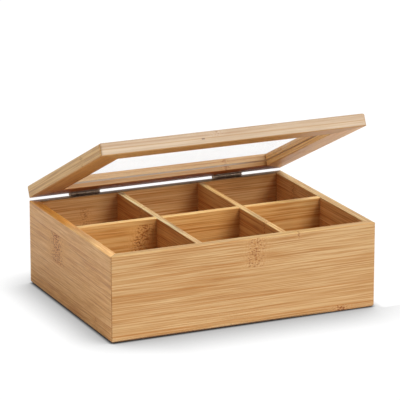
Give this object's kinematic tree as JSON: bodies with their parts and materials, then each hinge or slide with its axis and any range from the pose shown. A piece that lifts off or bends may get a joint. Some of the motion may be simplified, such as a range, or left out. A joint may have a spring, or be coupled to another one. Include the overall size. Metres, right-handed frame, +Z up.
{
  "type": "tea bag organizer box",
  "caption": "Low mitred bamboo box with an egg-crate divider insert and a butt-hinged lid whose wide flat frame holds a clear window pane.",
  "frame": {"origin": "middle of the flat underside, on the surface that the box stands on", "axes": "+X to the right along the hinge pins, +Y to the back where the hinges are, +Z up"},
  "size_m": [0.217, 0.1688, 0.1471],
  "materials": {
    "bamboo_walls": "satin lacquered bamboo, grain along each board",
    "bamboo_sides": "satin lacquered bamboo, slightly darker boards",
    "bamboo_inside": "satin bamboo",
    "bamboo_lid": "satin lacquered bamboo, pale",
    "clear_pane": "clear acrylic sheet",
    "antique_bronze": "antique bronze plate, rubbed bright on the knuckles"
  },
  "bodies": {
    "box": {"front_wall": "bamboo_walls", "back_wall": "bamboo_walls", "left_wall": "bamboo_sides", "right_wall": "bamboo_sides", "bottom_panel": "bamboo_inside", "long_divider": "bamboo_inside", "cross_divider_left": "bamboo_inside", "cross_divider_right": "bamboo_inside", "left_hinge_body_leaf": "antique_bronze", "right_hinge_body_leaf": "antique_bronze", "left_hinge_pin": "antique_bronze", "right_hinge_pin": "antique_bronze", "body_hinge_screws": "antique_bronze"},
    "lid": {"lid_front_rail": "bamboo_lid", "lid_back_rail": "bamboo_lid", "lid_left_rail": "bamboo_lid", "lid_right_rail": "bamboo_lid", "window_pane": "clear_pane", "left_hinge_lid_leaf": "antique_bronze", "right_hinge_lid_leaf": "antique_bronze", "lid_hinge_screws": "antique_bronze"}
  },
  "joints": [
    {"name": "lid_hinge", "type": "hinge", "parent": "box", "child": "lid", "pos_m": [0, 0.0843, 0.0674], "axis": [-1, 0, 0], "range_deg": [-25.25, 154.75]}
  ]
}
